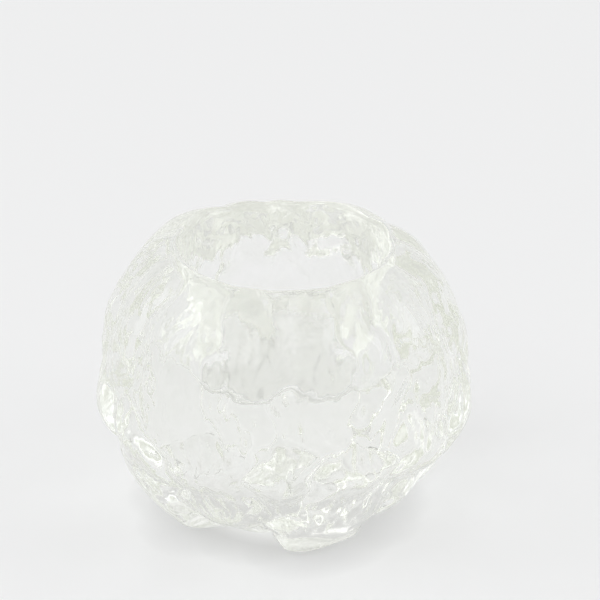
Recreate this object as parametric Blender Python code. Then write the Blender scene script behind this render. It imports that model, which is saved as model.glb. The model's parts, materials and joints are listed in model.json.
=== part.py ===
"""Tealight holder: one thick piece of pressed clear glass.

The outside is a squat ball covered by three tiers of drooping petals.
The inside is a smooth tapered well for one tealight, over a solid base.
The foot is flat in the middle, and the petals round it stop at different
heights. Origin: centre of the foot's underside, +Z up, metres.
"""

import math

import bmesh
import bpy
import numpy as np

MM = 0.001

# Driving dimensions, in millimetres.
HEIGHT = 67.2  # foot to the crest of the lip
EQUATOR_RADIUS = 43.8  # widest ring of petal crests
EQUATOR_HEIGHT = 30.0
SHOULDER_TOP = 67.0  # where the shoulder's ellipse would close
SHOULDER_END = math.radians(78.5)  # turn of that ellipse where the lip begins
FOOT_RADIUS = 28.0  # petal crests where the flank meets the foot
REST_RADIUS = 18.5  # flat disc that stands on the table
FOOT_ROUNDING = 3.0  # height of the turn from the flat disc to the flank
FOOT_SQUARENESS = 1.4  # above 1 flattens that turn
LIP_RADIUS = 1.6  # half the thickness of the rounded lip
LIP_START = math.radians(60.0)
WELL_TOP_RADIUS = 23.5
WELL_FLOOR_RADIUS = 21.4  # where the straight wall would meet the floor
WELL_FLOOR = 37.5  # height of the floor above the foot
WELL_CORNER = 3.5  # rounding between the wall and the floor

# Mesh fineness.
AROUND = 90
SHOULDER_STEPS = 15
FLANK_STEPS = 13
FOOT_STEPS = 3
LIP_STEPS = 5
WALL_STEPS = 3
CORNER_STEPS = 4

# Petals of each tier: (azimuth of the valley where the petal starts, how far its crest stands
# out in millimetres). Azimuths are degrees from the front (-Y) towards +X.
UPPER = {
    "petals": (
        (-26, 0.0), (-3, -0.2), (23, 0.1), (40, 0.0), (70, 0.3), (101, 0.6), (131, 1.1),
        (167, -0.2), (190, 0.9), (217, 2.0), (246, 0.6), (276, -0.3), (305, 0.0),
    ),
    "centre": 47.0,
    "up": 34.0,
    "down": 13.0,
    "seam_depth": 1.8,
    "fullness": 2.0,
    "edge_depth": 2.3,
}
MIDDLE = {
    "petals": (
        (-40, 0.0), (-10, -0.3), (8, 0.0), (34, 0.2), (62, 0.6), (90, 0.8), (118, 0.0),
        (147, 0.2), (176, -0.2), (205, 0.1), (235, 0.3), (263, 0.3), (291, 0.1),
    ),
    "centre": 28.0,
    "up": 10.0,
    "down": 9.0,
    "seam_depth": 2.2,
    "fullness": 2.2,
    "edge_depth": 2.1,
}
LOWER = {
    "petals": (
        (-43, 0.2), (-8, 0.5), (44, 0.2), (70, 0.8), (97, 0.6), (128, 0.0),
        (160, 0.3), (190, 0.0), (221, 0.5), (252, 2.2), (283, 2.6),
    ),
    "centre": 10.0,
    "up": 10.0,
    "down": 12.0,
    "seam_depth": 2.6,
    "fullness": 3.0,
    "edge_depth": 2.0,
}
TIERS = (UPPER, MIDDLE, LOWER)
LIFTS = (6.5, -1.4, 3.0, 3.0, 1.5, 2.5, 1.0, 3.0, 1.5, 3.0, 2.3)  # gap under each lower petal
LIFT_REACH = 14.0  # the lift dies out at this height
WANDER = 1.3  # how far a petal's centre strays up or down from its tier
DEEPEST = 4.0  # no valley is deeper than this below the crests
SOFTNESS = 0.5  # rounding of the valleys between petals


def clear_scene():
    for old in list(bpy.data.objects):
        bpy.data.objects.remove(old, do_unlink=True)


def flank_radius(z):
    """Radius of the petal crests at a height below the equator."""
    swell = 0.5 + 0.5 * math.cos(math.pi * (EQUATOR_HEIGHT - z) / EQUATOR_HEIGHT)
    return FOOT_RADIUS + (EQUATOR_RADIUS - FOOT_RADIUS) * swell**0.85


def petal_width(petals, i):
    """Width of petal i in degrees, from its own valley to the next one's."""
    return (petals[(i + 1) % len(petals)][0] - petals[i][0]) % 360


def relief(azimuth, z):
    """How far the skin stands out from the crest profile, in millimetres."""
    turn = math.radians(azimuth)
    azimuth += 2.2 * math.sin(0.31 * z + 3 * turn) + 1.3 * math.sin(0.67 * z - 5 * turn + 1.0)
    z += 1.2 * math.sin(7 * turn + 0.5) + 0.8 * math.sin(11 * turn + 0.1 * z)
    total = 0.0
    for tier in TIERS:
        petals = tier["petals"]
        for i, (start, crest) in enumerate(petals):
            half_width = petal_width(petals, i) / 2
            height = tier["centre"] + WANDER * math.sin(2.4 * i)
            across = ((azimuth - start - half_width + 180) % 360 - 180) / half_width
            along = (z - height) / (tier["up"] if z > height else tier["down"])
            seam = tier["seam_depth"] * abs(across) ** tier["fullness"]
            level = crest - seam - tier["edge_depth"] * along**2
            total += math.exp(max(level, -2 * DEEPEST) / SOFTNESS)
    return max(SOFTNESS * math.log(total), -DEEPEST)


def lift_under(azimuth):
    """Gap between the table and the lower petals' edges at an azimuth, in millimetres."""
    petals = LOWER["petals"]
    knots = []
    lifts = []
    for i, (start, _) in enumerate(petals):
        width = petal_width(petals, i)
        knots += [start + 0.15 * width, start + 0.85 * width]
        lifts += [LIFTS[i], LIFTS[i]]
    return float(np.interp(azimuth, knots, lifts, period=360))


def meridian():
    """Half section as (radius, height, relief share), from the foot's rim up, over and down."""
    points = []
    foot_edge = flank_radius(FOOT_ROUNDING)
    for i in range(FOOT_STEPS):
        turn = math.pi / 2 * i / FOOT_STEPS
        radius = REST_RADIUS + (foot_edge - REST_RADIUS) * math.sin(turn) ** FOOT_SQUARENESS
        height = FOOT_ROUNDING * (1.0 - math.cos(turn) ** FOOT_SQUARENESS)
        points.append((radius, height, 0.4 + 0.6 * i / FOOT_STEPS))
    for i in range(FLANK_STEPS):
        height = FOOT_ROUNDING + (EQUATOR_HEIGHT - FOOT_ROUNDING) * i / FLANK_STEPS
        points.append((flank_radius(height), height, 1.0))
    for i in range(SHOULDER_STEPS + 1):
        share = i / SHOULDER_STEPS
        turn = SHOULDER_END * share
        radius = WELL_TOP_RADIUS + (EQUATOR_RADIUS - WELL_TOP_RADIUS) * math.cos(turn)
        height = EQUATOR_HEIGHT + (SHOULDER_TOP - EQUATOR_HEIGHT) * math.sin(turn)
        points.append((radius, height, 1.0 - 0.3 * share**4))
    lip_centre = WELL_TOP_RADIUS + LIP_RADIUS
    lip_height = HEIGHT - LIP_RADIUS
    for i in range(LIP_STEPS + 1):
        share = i / LIP_STEPS
        turn = LIP_START + (math.pi - LIP_START) * share
        radius = lip_centre + LIP_RADIUS * math.cos(turn)
        height = lip_height + LIP_RADIUS * math.sin(turn)
        points.append((radius, height, 0.6 * (1.0 - share) ** 1.5))
    corner_height = WELL_FLOOR + WELL_CORNER
    slope = (WELL_TOP_RADIUS - WELL_FLOOR_RADIUS) / (HEIGHT - WELL_FLOOR)
    wall_end = WELL_FLOOR_RADIUS + slope * WELL_CORNER
    for i in range(1, WALL_STEPS):
        share = i / WALL_STEPS
        radius = WELL_TOP_RADIUS + (wall_end - WELL_TOP_RADIUS) * share
        points.append((radius, lip_height + (corner_height - lip_height) * share, 0.0))
    for i in range(CORNER_STEPS + 1):
        turn = math.pi / 2 * i / CORNER_STEPS
        radius = wall_end - WELL_CORNER * (1.0 - math.cos(turn))
        points.append((radius, corner_height - WELL_CORNER * math.sin(turn), 0.0))
    return points


def turn_meridian(points):
    """Spins the half section into a bmesh whose vertices remember their relief share."""
    bm = bmesh.new()
    share_layer = bm.verts.layers.float.new("relief_share")
    line = []
    for radius, height, share in points:
        vert = bm.verts.new((0.0, -radius * MM, height * MM))
        vert[share_layer] = share
        line.append(vert)
    edges = [bm.edges.new(pair) for pair in zip(line, line[1:])]
    bmesh.ops.spin(
        bm,
        geom=line + edges,
        cent=(0.0, 0.0, 0.0),
        axis=(0.0, 0.0, 1.0),
        angle=math.tau,
        steps=AROUND,
        use_merge=True,
    )
    bmesh.ops.holes_fill(bm, edges=[e for e in bm.edges if e.is_boundary], sides=AROUND)
    bmesh.ops.recalc_face_normals(bm, faces=bm.faces)
    return bm, share_layer


def press_petals(bm, share_layer):
    """Moves the outer skin in and out along its own normals, and lifts the petals' lower edges."""
    bm.normal_update()
    moves = []
    for vert in bm.verts:
        share = vert[share_layer]
        if not share:
            continue
        azimuth = math.degrees(math.atan2(vert.co.x, -vert.co.y))
        radius = math.hypot(vert.co.x, vert.co.y) / MM
        z = vert.co.z / MM
        way = vert.normal.copy()
        if z < 0.01:
            way.z = 0.0
            way.normalize()
        move = way * (share * relief(azimuth, z) * MM)
        outer = min(max((radius - REST_RADIUS) / (FOOT_RADIUS - REST_RADIUS), 0.0), 1.0) ** 1.5
        low = max(1.0 - z / LIFT_REACH, 0.0) ** 2
        move.z += lift_under(azimuth) * outer * low * MM
        moves.append((vert, move))
    for vert, move in moves:
        vert.co += move
        vert.co.z = max(vert.co.z, 0.0)


def clear_glass():
    material = bpy.data.materials.new("clear_glass")
    material.use_nodes = True
    shader = material.node_tree.nodes["Principled BSDF"]
    shader.inputs["Base Color"].default_value = (0.93, 0.97, 0.94, 1.0)
    shader.inputs["Roughness"].default_value = 0.03
    shader.inputs["Metallic"].default_value = 0.0
    shader.inputs["IOR"].default_value = 1.5
    shader.inputs["Transmission Weight"].default_value = 1.0
    return material


def glass_body():
    bm, share_layer = turn_meridian(meridian())
    press_petals(bm, share_layer)
    mesh = bpy.data.meshes.new("glass_body")
    bm.to_mesh(mesh)
    bm.free()
    mesh.shade_smooth()
    mesh.set_sharp_from_angle(angle=math.radians(50))
    mesh.materials.append(clear_glass())
    body = bpy.data.objects.new("glass_body", mesh)
    bpy.context.scene.collection.objects.link(body)
    return body


clear_scene()
glass_body()
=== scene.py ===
"""Looks of the tealight holder: thick pressed clear glass with a crinkled, petalled skin.

The skin follows the CAD model's profile and petals on a much finer mesh. It also carries the
crinkle that the mould leaves in the glass, which the CAD model goes without. Lengths in the
shape functions are millimetres, and azimuths are degrees from the front (-Y) towards +X.
"""

import json
import math

import bpy
import numpy as np
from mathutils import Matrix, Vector, noise


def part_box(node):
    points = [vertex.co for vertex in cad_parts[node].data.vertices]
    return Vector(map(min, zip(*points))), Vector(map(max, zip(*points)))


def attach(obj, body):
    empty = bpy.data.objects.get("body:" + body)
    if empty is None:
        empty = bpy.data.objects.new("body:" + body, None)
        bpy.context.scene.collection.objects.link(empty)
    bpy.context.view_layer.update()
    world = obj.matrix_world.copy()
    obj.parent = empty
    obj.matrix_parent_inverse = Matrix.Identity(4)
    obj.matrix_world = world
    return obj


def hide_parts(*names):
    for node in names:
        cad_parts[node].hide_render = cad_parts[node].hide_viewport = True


MM = 0.001

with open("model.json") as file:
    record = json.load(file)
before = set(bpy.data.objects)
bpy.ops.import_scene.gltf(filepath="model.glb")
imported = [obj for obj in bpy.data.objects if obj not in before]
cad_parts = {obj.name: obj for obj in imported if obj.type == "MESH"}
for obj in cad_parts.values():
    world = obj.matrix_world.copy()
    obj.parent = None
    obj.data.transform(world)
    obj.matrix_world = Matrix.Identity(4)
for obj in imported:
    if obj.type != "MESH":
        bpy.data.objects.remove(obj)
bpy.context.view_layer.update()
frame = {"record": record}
LOW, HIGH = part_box("glass_body")
MOUNTS = {mount["name"]: mount for mount in frame["record"]["mounts"]}

# ---------------------------------------------------------------- profile, as in the CAD model
HEIGHT = 67.2  # foot to the crest of the lip
EQUATOR_RADIUS = 43.8  # widest ring of petal crests
EQUATOR_HEIGHT = 30.0
SHOULDER_TOP = 67.0  # where the shoulder's ellipse would close
SHOULDER_END = math.radians(78.5)  # turn of that ellipse where the lip begins
FOOT_RADIUS = 28.0  # petal crests where the flank meets the foot
REST_RADIUS = 18.5  # flat disc that stands on the table
FOOT_ROUNDING = 3.0  # height of the turn from the flat disc to the flank
FOOT_SQUARENESS = 1.4  # above 1 flattens that turn
LIP_RADIUS = 1.6  # half the thickness of the rounded lip
LIP_START = math.radians(60.0)
WELL_TOP_RADIUS = 23.5
WELL_FLOOR_RADIUS = 21.4  # where the straight wall would meet the floor
WELL_FLOOR = MOUNTS["well_floor"]["pos_m"][2] / MM
WELL_CORNER = 3.5  # rounding between the wall and the floor

# Mesh fineness.
AROUND = 560
SHOULDER_STEPS = 74
FLANK_STEPS = 58
FOOT_STEPS = 6
LIP_STEPS = 10
WALL_STEPS = 8
CORNER_STEPS = 6

# ---------------------------------------------------------------- petals
# Petals of each tier: (azimuth of the valley where the petal starts, how far its crest stands
# out). The middle tier's valleys are a little sharper than the CAD model's.
UPPER = {
    "petals": (
        (-26, 0.0), (-3, -0.2), (23, 0.1), (40, 0.0), (70, 0.3), (101, 0.6), (131, 1.1),
        (167, -0.2), (190, 0.9), (217, 2.0), (246, 0.6), (276, -0.3), (305, 0.0),
    ),
    "centre": 47.0,
    "up": 34.0,
    "down": 13.0,
    "seam_depth": 1.8,
    "fullness": 2.0,
    "edge_depth": 2.3,
}
MIDDLE = {
    "petals": (
        (-40, 0.0), (-10, -0.3), (8, 0.0), (34, 0.2), (62, 0.6), (90, 0.8), (118, 0.0),
        (147, 0.2), (176, -0.2), (205, 0.1), (235, 0.3), (263, 0.3), (291, 0.1),
    ),
    "centre": 28.0,
    "up": 10.0,
    "down": 9.0,
    "seam_depth": 2.4,
    "fullness": 3.0,
    "edge_depth": 2.1,
}
LOWER = {
    "petals": (
        (-43, 0.2), (-8, 0.5), (44, 0.2), (70, 0.8), (97, 0.6), (128, 0.0),
        (160, 0.3), (190, 0.0), (221, 0.5), (252, 2.2), (283, 2.6),
    ),
    "centre": 10.0,
    "up": 10.0,
    "down": 12.0,
    "seam_depth": 2.6,
    "fullness": 3.0,
    "edge_depth": 2.0,
}
TIERS = (UPPER, MIDDLE, LOWER)
LIFTS = (6.5, -1.4, 3.0, 3.0, 1.5, 2.5, 1.0, 3.0, 1.5, 3.0, 2.3)  # gap under each lower petal
LIFT_REACH = 14.0  # the lift dies out at this height
WANDER = 1.3  # how far a petal's centre strays up or down from its tier
DEEPEST = 4.0  # no valley is deeper than this below the crests
SOFTNESS = 0.6  # rounding of the valleys, a little more than in the CAD model

# Slow waves that keep the valleys from running straight: (size, radians per millimetre of
# height, waves round the body, phase). SWAY is sideways in degrees, HEAVE is up and down.
SWAY = ((2.2, 0.31, 3, 0.0), (1.3, 0.67, -5, 1.0))
HEAVE = ((1.2, 0.0, 7, 0.5), (0.8, 0.1, 11, 0.0))

# Shares of the petals' relief, and of the crinkle, that are left along the profile.
FOOT_RELIEF = 0.4  # at the rim of the flat disc
SHOULDER_RELIEF = 0.7  # at the upper end of the shoulder
LIP_RELIEF = 0.6  # where the lip begins, down to nothing at the well
SHOULDER_CRINKLE = 0.15
LIP_CRINKLE = 0.1

# ---------------------------------------------------------------- crinkle
CRINKLE_RADIUS = 38.0  # the crinkle is laid out on a cylinder of this radius
RIPPLE = 0.24  # height of the short upright ripples
RIPPLE_GRAIN = (2.2, 4.4)  # their size across and along the skin
CREASE = 0.12  # height of the ridges between creases
CREASE_GRAIN = (2.2, 3.8)
CREASE_SHIFT = (9.0, 4.0)  # keeps the creases apart from the ripples
SWELL = 0.30  # height of the slow swell under both
SWELL_GRAIN = 9.0
SINK = 0.06  # the whole crinkle sits this much lower, to stay near the CAD model's box
WARP = 1.6  # how far the pattern is pushed about
WARP_GRAIN = 7.0
WARP_APART = (Vector((0.0, 0.0, 0.0)), Vector((19.1, 33.4, 47.2)), Vector((74.2, 12.6, 28.3)))
CALM = 0.2  # share of the ripples and creases near the foot
CALM_END = 17.0  # distance up the skin where they begin to grow
CALM_FADE = 14.0  # and over which they reach full height

# ---------------------------------------------------------------- glass, floor and room
GLASS_IOR = 1.5
BATCH_TINT = (0.965, 0.970, 0.958, 1.0)  # the glass's slightly greener patches
# Grains per metre and detail of the noises in the glass.
BATCH_GRAIN = (170.0, 3.0)
POLISH_GRAIN = (120.0, 3.0)
FINE_RIPPLE_GRAIN = (380.0, 2.0)
POLISH = (0.05, 0.14)  # roughness of the fire-polished skin, from its glossiest to its dullest
VOLUME_TINT = (0.960, 0.968, 0.928, 1.0)
VOLUME_DENSITY = 9.0

FLOOR_DROP = 0.0002  # metres under the foot, so that the two faces don't coincide
PAPER = 0.605  # paleness of the floor's paper
PAPER_GLOW = 0.45  # emission strength of the paper, which keeps the floor high-key
# The contact shade round the foot is painted into the paper's colour and glow.
PAINTED_SHADE = 0.76  # share of that paleness left in the deepest painted contact shade
PAINTED_SHADE_REACH = 0.009  # metres; reach of the occlusion that paints the contact shade
PAINTED_SHADE_RING = (0.018, 0.023)  # metres from the axis over which the painted contact shade comes in

# Brightness of the room by the height of the direction, from the horizon (0) to straight up
# (1). Below the horizon it stays at the first level.
ROOM = ((0.0, 0.85), (0.3, 0.67), (0.5, 0.70), (1.0, 0.97))
# Soft lights: (name, place, width and height, watts, colour).
LIGHTS = (
    ("window", (-2.2, -0.3, 1.5), (1.4, 1.7), 7.5, (0.93, 0.97, 1.0)),
    ("front_window", (-0.8, -1.5, 1.9), (1.2, 1.2), 5.5, (0.97, 0.98, 1.0)),
    ("fill", (2.2, -0.3, 1.3), (1.4, 1.7), 7.5, (0.93, 0.97, 1.0)),
)
LIT_POINT = Vector((0.0, 0.0, 0.03))

CAMERA_DISTANCE = 0.5
CAMERA_ELEVATION = math.radians(28.0)
LENS = 127.6
BODY_CENTRE = Vector((0.0, 0.0, (LOW.z + HIGH.z) / 2))
LOOK_AT = BODY_CENTRE + Vector((0.00365, 0.0078, 0.0148))


def flank_radius(z):
    """Radius of the petal crests at a height below the equator."""
    swell = 0.5 + 0.5 * math.cos(math.pi * (EQUATOR_HEIGHT - z) / EQUATOR_HEIGHT)
    return FOOT_RADIUS + (EQUATOR_RADIUS - FOOT_RADIUS) * swell**0.85


def petal_width(petals, i):
    """Width of petal i in degrees, from its own valley to the next one's."""
    return (petals[(i + 1) % len(petals)][0] - petals[i][0]) % 360


def waves(table, turn, z):
    """Sum of the slow waves in a table, at a turn round the body and a height."""
    return sum(size * np.sin(climb * z + count * turn + phase) for size, climb, count, phase in table)


def relief(azimuth, z):
    """How far the skin stands out from the crest profile."""
    turn = np.radians(azimuth)
    azimuth = azimuth + waves(SWAY, turn, z)
    z = z + waves(HEAVE, turn, z)
    total = np.zeros_like(azimuth)
    for tier in TIERS:
        petals = tier["petals"]
        for i, (start, crest) in enumerate(petals):
            half_width = petal_width(petals, i) / 2
            height = tier["centre"] + WANDER * math.sin(2.4 * i)
            across = ((azimuth - start - half_width + 180) % 360 - 180) / half_width
            along = (z - height) / np.where(z > height, tier["up"], tier["down"])
            seam = tier["seam_depth"] * np.abs(across) ** tier["fullness"]
            level = crest - seam - tier["edge_depth"] * along**2
            total += np.exp(np.maximum(level, -2 * DEEPEST) / SOFTNESS)
    return np.maximum(SOFTNESS * np.log(total), -DEEPEST)


def lift_under(azimuth):
    """Gap between the table and the lower petals' edges."""
    petals = LOWER["petals"]
    knots = []
    lifts = []
    for i, (start, _) in enumerate(petals):
        width = petal_width(petals, i)
        knots += [start + 0.15 * width, start + 0.85 * width]
        lifts += [LIFTS[i], LIFTS[i]]
    return np.interp(azimuth, knots, lifts, period=360)


def meridian():
    """Half section rows of (radius, height, relief share, crinkle share), foot to well floor."""
    rows = []
    foot_edge = flank_radius(FOOT_ROUNDING)
    for i in range(FOOT_STEPS):
        share = i / FOOT_STEPS
        turn = math.pi / 2 * share
        radius = REST_RADIUS + (foot_edge - REST_RADIUS) * math.sin(turn) ** FOOT_SQUARENESS
        height = FOOT_ROUNDING * (1.0 - math.cos(turn) ** FOOT_SQUARENESS)
        rows.append((radius, height, FOOT_RELIEF + (1.0 - FOOT_RELIEF) * share, share))
    for i in range(FLANK_STEPS):
        height = FOOT_ROUNDING + (EQUATOR_HEIGHT - FOOT_ROUNDING) * i / FLANK_STEPS
        rows.append((flank_radius(height), height, 1.0, 1.0))
    for i in range(SHOULDER_STEPS + 1):
        share = i / SHOULDER_STEPS
        turn = SHOULDER_END * share
        radius = WELL_TOP_RADIUS + (EQUATOR_RADIUS - WELL_TOP_RADIUS) * math.cos(turn)
        height = EQUATOR_HEIGHT + (SHOULDER_TOP - EQUATOR_HEIGHT) * math.sin(turn)
        petal = 1.0 - (1.0 - SHOULDER_RELIEF) * share**4
        rough = 1.0 - (1.0 - SHOULDER_CRINKLE) * share**2.5
        rows.append((radius, height, petal, rough))
    lip_centre = WELL_TOP_RADIUS + LIP_RADIUS
    lip_height = HEIGHT - LIP_RADIUS
    for i in range(LIP_STEPS + 1):
        share = i / LIP_STEPS
        turn = LIP_START + (math.pi - LIP_START) * share
        radius = lip_centre + LIP_RADIUS * math.cos(turn)
        height = lip_height + LIP_RADIUS * math.sin(turn)
        petal = LIP_RELIEF * (1.0 - share) ** 1.5
        rows.append((radius, height, petal, LIP_CRINKLE * (1.0 - share) ** 2))
    corner_height = WELL_FLOOR + WELL_CORNER
    slope = (WELL_TOP_RADIUS - WELL_FLOOR_RADIUS) / (HEIGHT - WELL_FLOOR)
    wall_end = WELL_FLOOR_RADIUS + slope * WELL_CORNER
    for i in range(1, WALL_STEPS):
        share = i / WALL_STEPS
        radius = WELL_TOP_RADIUS + (wall_end - WELL_TOP_RADIUS) * share
        rows.append((radius, lip_height + (corner_height - lip_height) * share, 0.0, 0.0))
    for i in range(CORNER_STEPS + 1):
        turn = math.pi / 2 * i / CORNER_STEPS
        radius = wall_end - WELL_CORNER * (1.0 - math.cos(turn))
        rows.append((radius, corner_height - WELL_CORNER * math.sin(turn), 0.0, 0.0))
    return np.array(rows)


def grain(point, size, shift=(0.0, 0.0)):
    """Noise stretched along the skin, from -1 to 1."""
    across, along = size
    x = point.x / across + shift[0]
    return noise.noise(Vector((x, point.y / across, point.z / along + shift[1])))


def crinkle(points):
    """Height of the mould's ice-like crinkle at points (x, y, distance up the skin)."""
    heights = np.empty(len(points))
    for i, (x, y, distance) in enumerate(points):
        point = Vector((x, y, distance))
        push = Vector([noise.noise(point / WARP_GRAIN + apart) for apart in WARP_APART])
        pushed = point + push * WARP
        ripple = RIPPLE * grain(pushed, RIPPLE_GRAIN)
        crease = CREASE * (1.0 - 2.0 * abs(grain(pushed, CREASE_GRAIN, CREASE_SHIFT)))
        growth = min(max((distance - CALM_END) / CALM_FADE, 0.0), 1.0)
        calm = CALM + (1.0 - CALM) * growth
        heights[i] = calm * (ripple + crease) + SWELL * noise.noise(point / SWELL_GRAIN) - SINK
    return heights


def skin_points(rows):
    """The grid of skin vertices, one ring for each row of the meridian."""
    azimuth = np.arange(AROUND) * 360.0 / AROUND
    turn = np.radians(azimuth)
    radius, height, petal = (rows[:, k][:, None] for k in range(3))
    step = np.hypot(np.diff(rows[:, 0]), np.diff(rows[:, 1]))
    distance = np.concatenate([[0.0], np.cumsum(step)])
    tangent = np.gradient(rows[:, :2], axis=0)
    tangent /= np.linalg.norm(tangent, axis=1, keepdims=True)
    out_r, out_z = tangent[:, 1][:, None], -tangent[:, 0][:, None]
    table_rows = rows[:, 1] < 0.01
    out_r[table_rows], out_z[table_rows] = 1.0, 0.0
    azimuths, heights = np.meshgrid(azimuth, rows[:, 1])
    move = petal * relief(azimuths, heights)
    x, y = CRINKLE_RADIUS * np.sin(turn), -CRINKLE_RADIUS * np.cos(turn)
    for k in np.nonzero(rows[:, 3] > 0.0)[0]:
        points = np.stack([x, y, np.full(AROUND, distance[k])], axis=1)
        move[k] += rows[k, 3] * crinkle(points)
    outer = np.clip((radius - REST_RADIUS) / (FOOT_RADIUS - REST_RADIUS), 0.0, 1.0) ** 1.5
    low = np.clip(1.0 - heights / LIFT_REACH, 0.0, 1.0) ** 2
    r = radius + out_r * move
    z = np.maximum(height + out_z * move + lift_under(azimuths) * outer * low, 0.0)
    return np.stack([r * np.sin(turn), -r * np.cos(turn), z], axis=-1)


def glass_skin():
    """The closed skin of the body: the grid, with a fan of triangles at each end."""
    grid = skin_points(meridian())
    rings = len(grid)
    verts = np.concatenate([grid.reshape(-1, 3), [[0, 0, 0], [0, 0, WELL_FLOOR]]]) * MM
    column = np.arange(AROUND)
    after = (column + 1) % AROUND
    quads = []
    for k in range(rings - 1):
        a, b = k * AROUND, (k + 1) * AROUND
        quads.append(np.stack([a + column, a + after, b + after, b + column], axis=1))
    faces = np.concatenate(quads).tolist()
    under, floor = rings * AROUND, rings * AROUND + 1
    last = (rings - 1) * AROUND
    faces += np.stack([np.full(AROUND, under), after, column], axis=1).tolist()
    faces += np.stack([last + column, last + after, np.full(AROUND, floor)], axis=1).tolist()
    mesh = bpy.data.meshes.new("glass_skin")
    mesh.from_pydata(verts.tolist(), [], faces)
    mesh.shade_smooth()
    piece = bpy.data.objects.new("glass_skin", mesh)
    bpy.context.scene.collection.objects.link(piece)
    return piece


def object_noise(nodes, links, grain_and_detail):
    """A noise texture in object coordinates."""
    where = nodes.new("ShaderNodeTexCoord")
    field = nodes.new("ShaderNodeTexNoise")
    field.inputs["Scale"].default_value, field.inputs["Detail"].default_value = grain_and_detail
    links.new(where.outputs["Object"], field.inputs["Vector"])
    return field.outputs["Fac"]


def map_range(nodes, links, value, source, target):
    """A value taken from one (low, high) range to another."""
    node = nodes.new("ShaderNodeMapRange")
    node.inputs["From Min"].default_value, node.inputs["From Max"].default_value = source
    node.inputs["To Min"].default_value, node.inputs["To Max"].default_value = target
    links.new(value, node.inputs["Value"])
    return node.outputs["Result"]


def clear_glass():
    """Faintly tinted glass with greener patches, uneven polish and a very fine ripple."""
    material = bpy.data.materials.new("clear_glass")
    material.use_nodes = True
    nodes, links = material.node_tree.nodes, material.node_tree.links
    shader = nodes["Principled BSDF"]
    shader.inputs["Transmission Weight"].default_value = 1.0
    shader.inputs["IOR"].default_value = GLASS_IOR

    batch = nodes.new("ShaderNodeValToRGB")
    batch.color_ramp.elements[0].position = 0.35
    batch.color_ramp.elements[0].color = BATCH_TINT
    batch.color_ramp.elements[1].position = 0.65
    batch.color_ramp.elements[1].color = (1.0, 1.0, 1.0, 1.0)
    links.new(object_noise(nodes, links, BATCH_GRAIN), batch.inputs["Fac"])
    links.new(batch.outputs["Color"], shader.inputs["Base Color"])

    wear = object_noise(nodes, links, POLISH_GRAIN)
    links.new(map_range(nodes, links, wear, (0.35, 0.70), POLISH), shader.inputs["Roughness"])

    fine_ripple = nodes.new("ShaderNodeBump")
    fine_ripple.inputs["Strength"].default_value = 0.25
    fine_ripple.inputs["Distance"].default_value = 0.0002
    links.new(object_noise(nodes, links, FINE_RIPPLE_GRAIN), fine_ripple.inputs["Height"])
    links.new(fine_ripple.outputs["Normal"], shader.inputs["Normal"])

    tint = nodes.new("ShaderNodeVolumeAbsorption")
    tint.inputs["Color"].default_value = VOLUME_TINT
    tint.inputs["Density"].default_value = VOLUME_DENSITY
    links.new(tint.outputs["Volume"], nodes["Material Output"].inputs["Volume"])
    return material


def math_node(nodes, links, operation, first, second):
    """A math node on two sockets, or on a number and a socket."""
    node = nodes.new("ShaderNodeMath")
    node.operation = operation
    for value, socket in zip((first, second), node.inputs):
        if isinstance(value, float):
            socket.default_value = value
        else:
            links.new(value, socket)
    return node.outputs["Value"]


def floor_paper_painted_shade():
    """Pale paper with a painted contact shade, from ambient occlusion darkening its colour and glow,
    that fades out under the foot's flat disc.
    """
    material = bpy.data.materials.new("floor_paper_painted_shade")
    material.use_nodes = True
    nodes, links = material.node_tree.nodes, material.node_tree.links
    shader = nodes["Principled BSDF"]
    shader.inputs["Roughness"].default_value = 0.9
    shader.inputs["Emission Strength"].default_value = PAPER_GLOW
    # Painted contact shade: ambient occlusion near the glass darkens the paper's colour.
    painted_shade_ao = nodes.new("ShaderNodeAmbientOcclusion")
    painted_shade_ao.inputs["Distance"].default_value = PAINTED_SHADE_REACH
    painted_shade_ao.samples = 16
    painted_shade_depth = math_node(nodes, links, "SUBTRACT", 1.0, painted_shade_ao.outputs["AO"])
    where = nodes.new("ShaderNodeTexCoord")
    away = nodes.new("ShaderNodeVectorMath")
    away.operation = "LENGTH"
    links.new(where.outputs["Object"], away.inputs[0])
    painted_shade_ring_mask = map_range(nodes, links, away.outputs["Value"], PAINTED_SHADE_RING, (0.0, 1.0))
    painted_shade_amount = math_node(nodes, links, "MULTIPLY", painted_shade_depth, painted_shade_ring_mask)
    paper_with_painted_shade = map_range(nodes, links, painted_shade_amount, (0.0, 1.0), (PAPER, PAPER * PAINTED_SHADE))
    # The painted shade goes into both the paper's colour and its glow.
    links.new(paper_with_painted_shade, shader.inputs["Base Color"])
    links.new(paper_with_painted_shade, shader.inputs["Emission Color"])
    return material


def pale_floor():
    bpy.ops.mesh.primitive_circle_add(vertices=96, radius=6.0, fill_type="NGON")
    floor = bpy.context.object
    floor.name = "floor"
    floor.location.z = LOW.z - FLOOR_DROP
    floor.data.materials.append(floor_paper_painted_shade())


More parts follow.
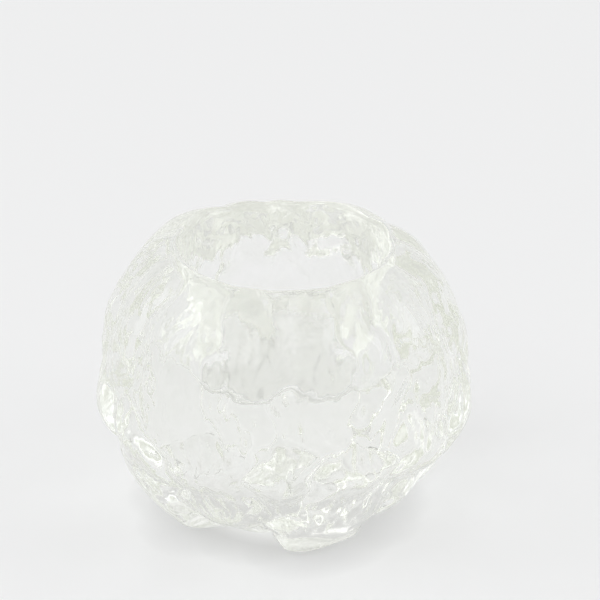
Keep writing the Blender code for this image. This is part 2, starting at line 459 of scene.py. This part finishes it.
def room():
    """The world: pale everywhere, with a slow change of brightness up to the ceiling."""
    world = bpy.data.worlds.new("studio")
    bpy.context.scene.world = world
    world.use_nodes = True
    nodes, links = world.node_tree.nodes, world.node_tree.links
    where = nodes.new("ShaderNodeTexCoord")
    split = nodes.new("ShaderNodeSeparateXYZ")
    fade = nodes.new("ShaderNodeValToRGB")
    fade.color_ramp.interpolation = "EASE"
    for i, (height, level) in enumerate(ROOM):
        if i > 1:
            fade.color_ramp.elements.new(height)
        fade.color_ramp.elements[i].position = height
        fade.color_ramp.elements[i].color = (level, level, level, 1.0)
    links.new(where.outputs["Generated"], split.inputs["Vector"])
    links.new(split.outputs["Z"], fade.inputs["Fac"])
    links.new(fade.outputs["Color"], nodes["Background"].inputs["Color"])
    nodes["Background"].inputs["Strength"].default_value = 1.0


def softbox(name, place, size, watts, colour):
    """A rectangular studio light that faces the holder."""
    light = bpy.data.lights.new(name, "AREA")
    light.shape = "RECTANGLE"
    light.size, light.size_y = size
    light.energy = watts
    light.color = colour
    box = bpy.data.objects.new(name, light)
    bpy.context.scene.collection.objects.link(box)
    box.location = place
    box.rotation_euler = (LIT_POINT - box.location).to_track_quat("-Z", "Y").to_euler()


def camera():
    lens = bpy.data.cameras.new("camera")
    lens.sensor_width = 36.0
    lens.lens = LENS
    lens.clip_start = 0.01
    view = bpy.data.objects.new("camera", lens)
    bpy.context.scene.collection.objects.link(view)
    back = Vector((0.0, -math.cos(CAMERA_ELEVATION), math.sin(CAMERA_ELEVATION)))
    view.location = BODY_CENTRE + CAMERA_DISTANCE * back
    view.rotation_euler = (LOOK_AT - view.location).to_track_quat("-Z", "Y").to_euler()
    bpy.context.scene.camera = view


def light_paths():
    """Enough bounces for light to cross the crinkled glass many times."""
    scene = bpy.context.scene
    scene.view_settings.view_transform = "Standard"
    scene.cycles.max_bounces = 48
    scene.cycles.transmission_bounces = 48
    scene.cycles.glossy_bounces = 32
    scene.cycles.diffuse_bounces = 6
    scene.cycles.caustics_refractive = True
    scene.cycles.caustics_reflective = True
    scene.cycles.blur_glossy = 0.0


skin = glass_skin()
skin.data.materials.append(clear_glass())
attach(skin, "root")
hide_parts("glass_body")
pale_floor()
room()
for name, place, size, watts, colour in LIGHTS:
    softbox(name, place, size, watts, colour)
camera()
light_paths()
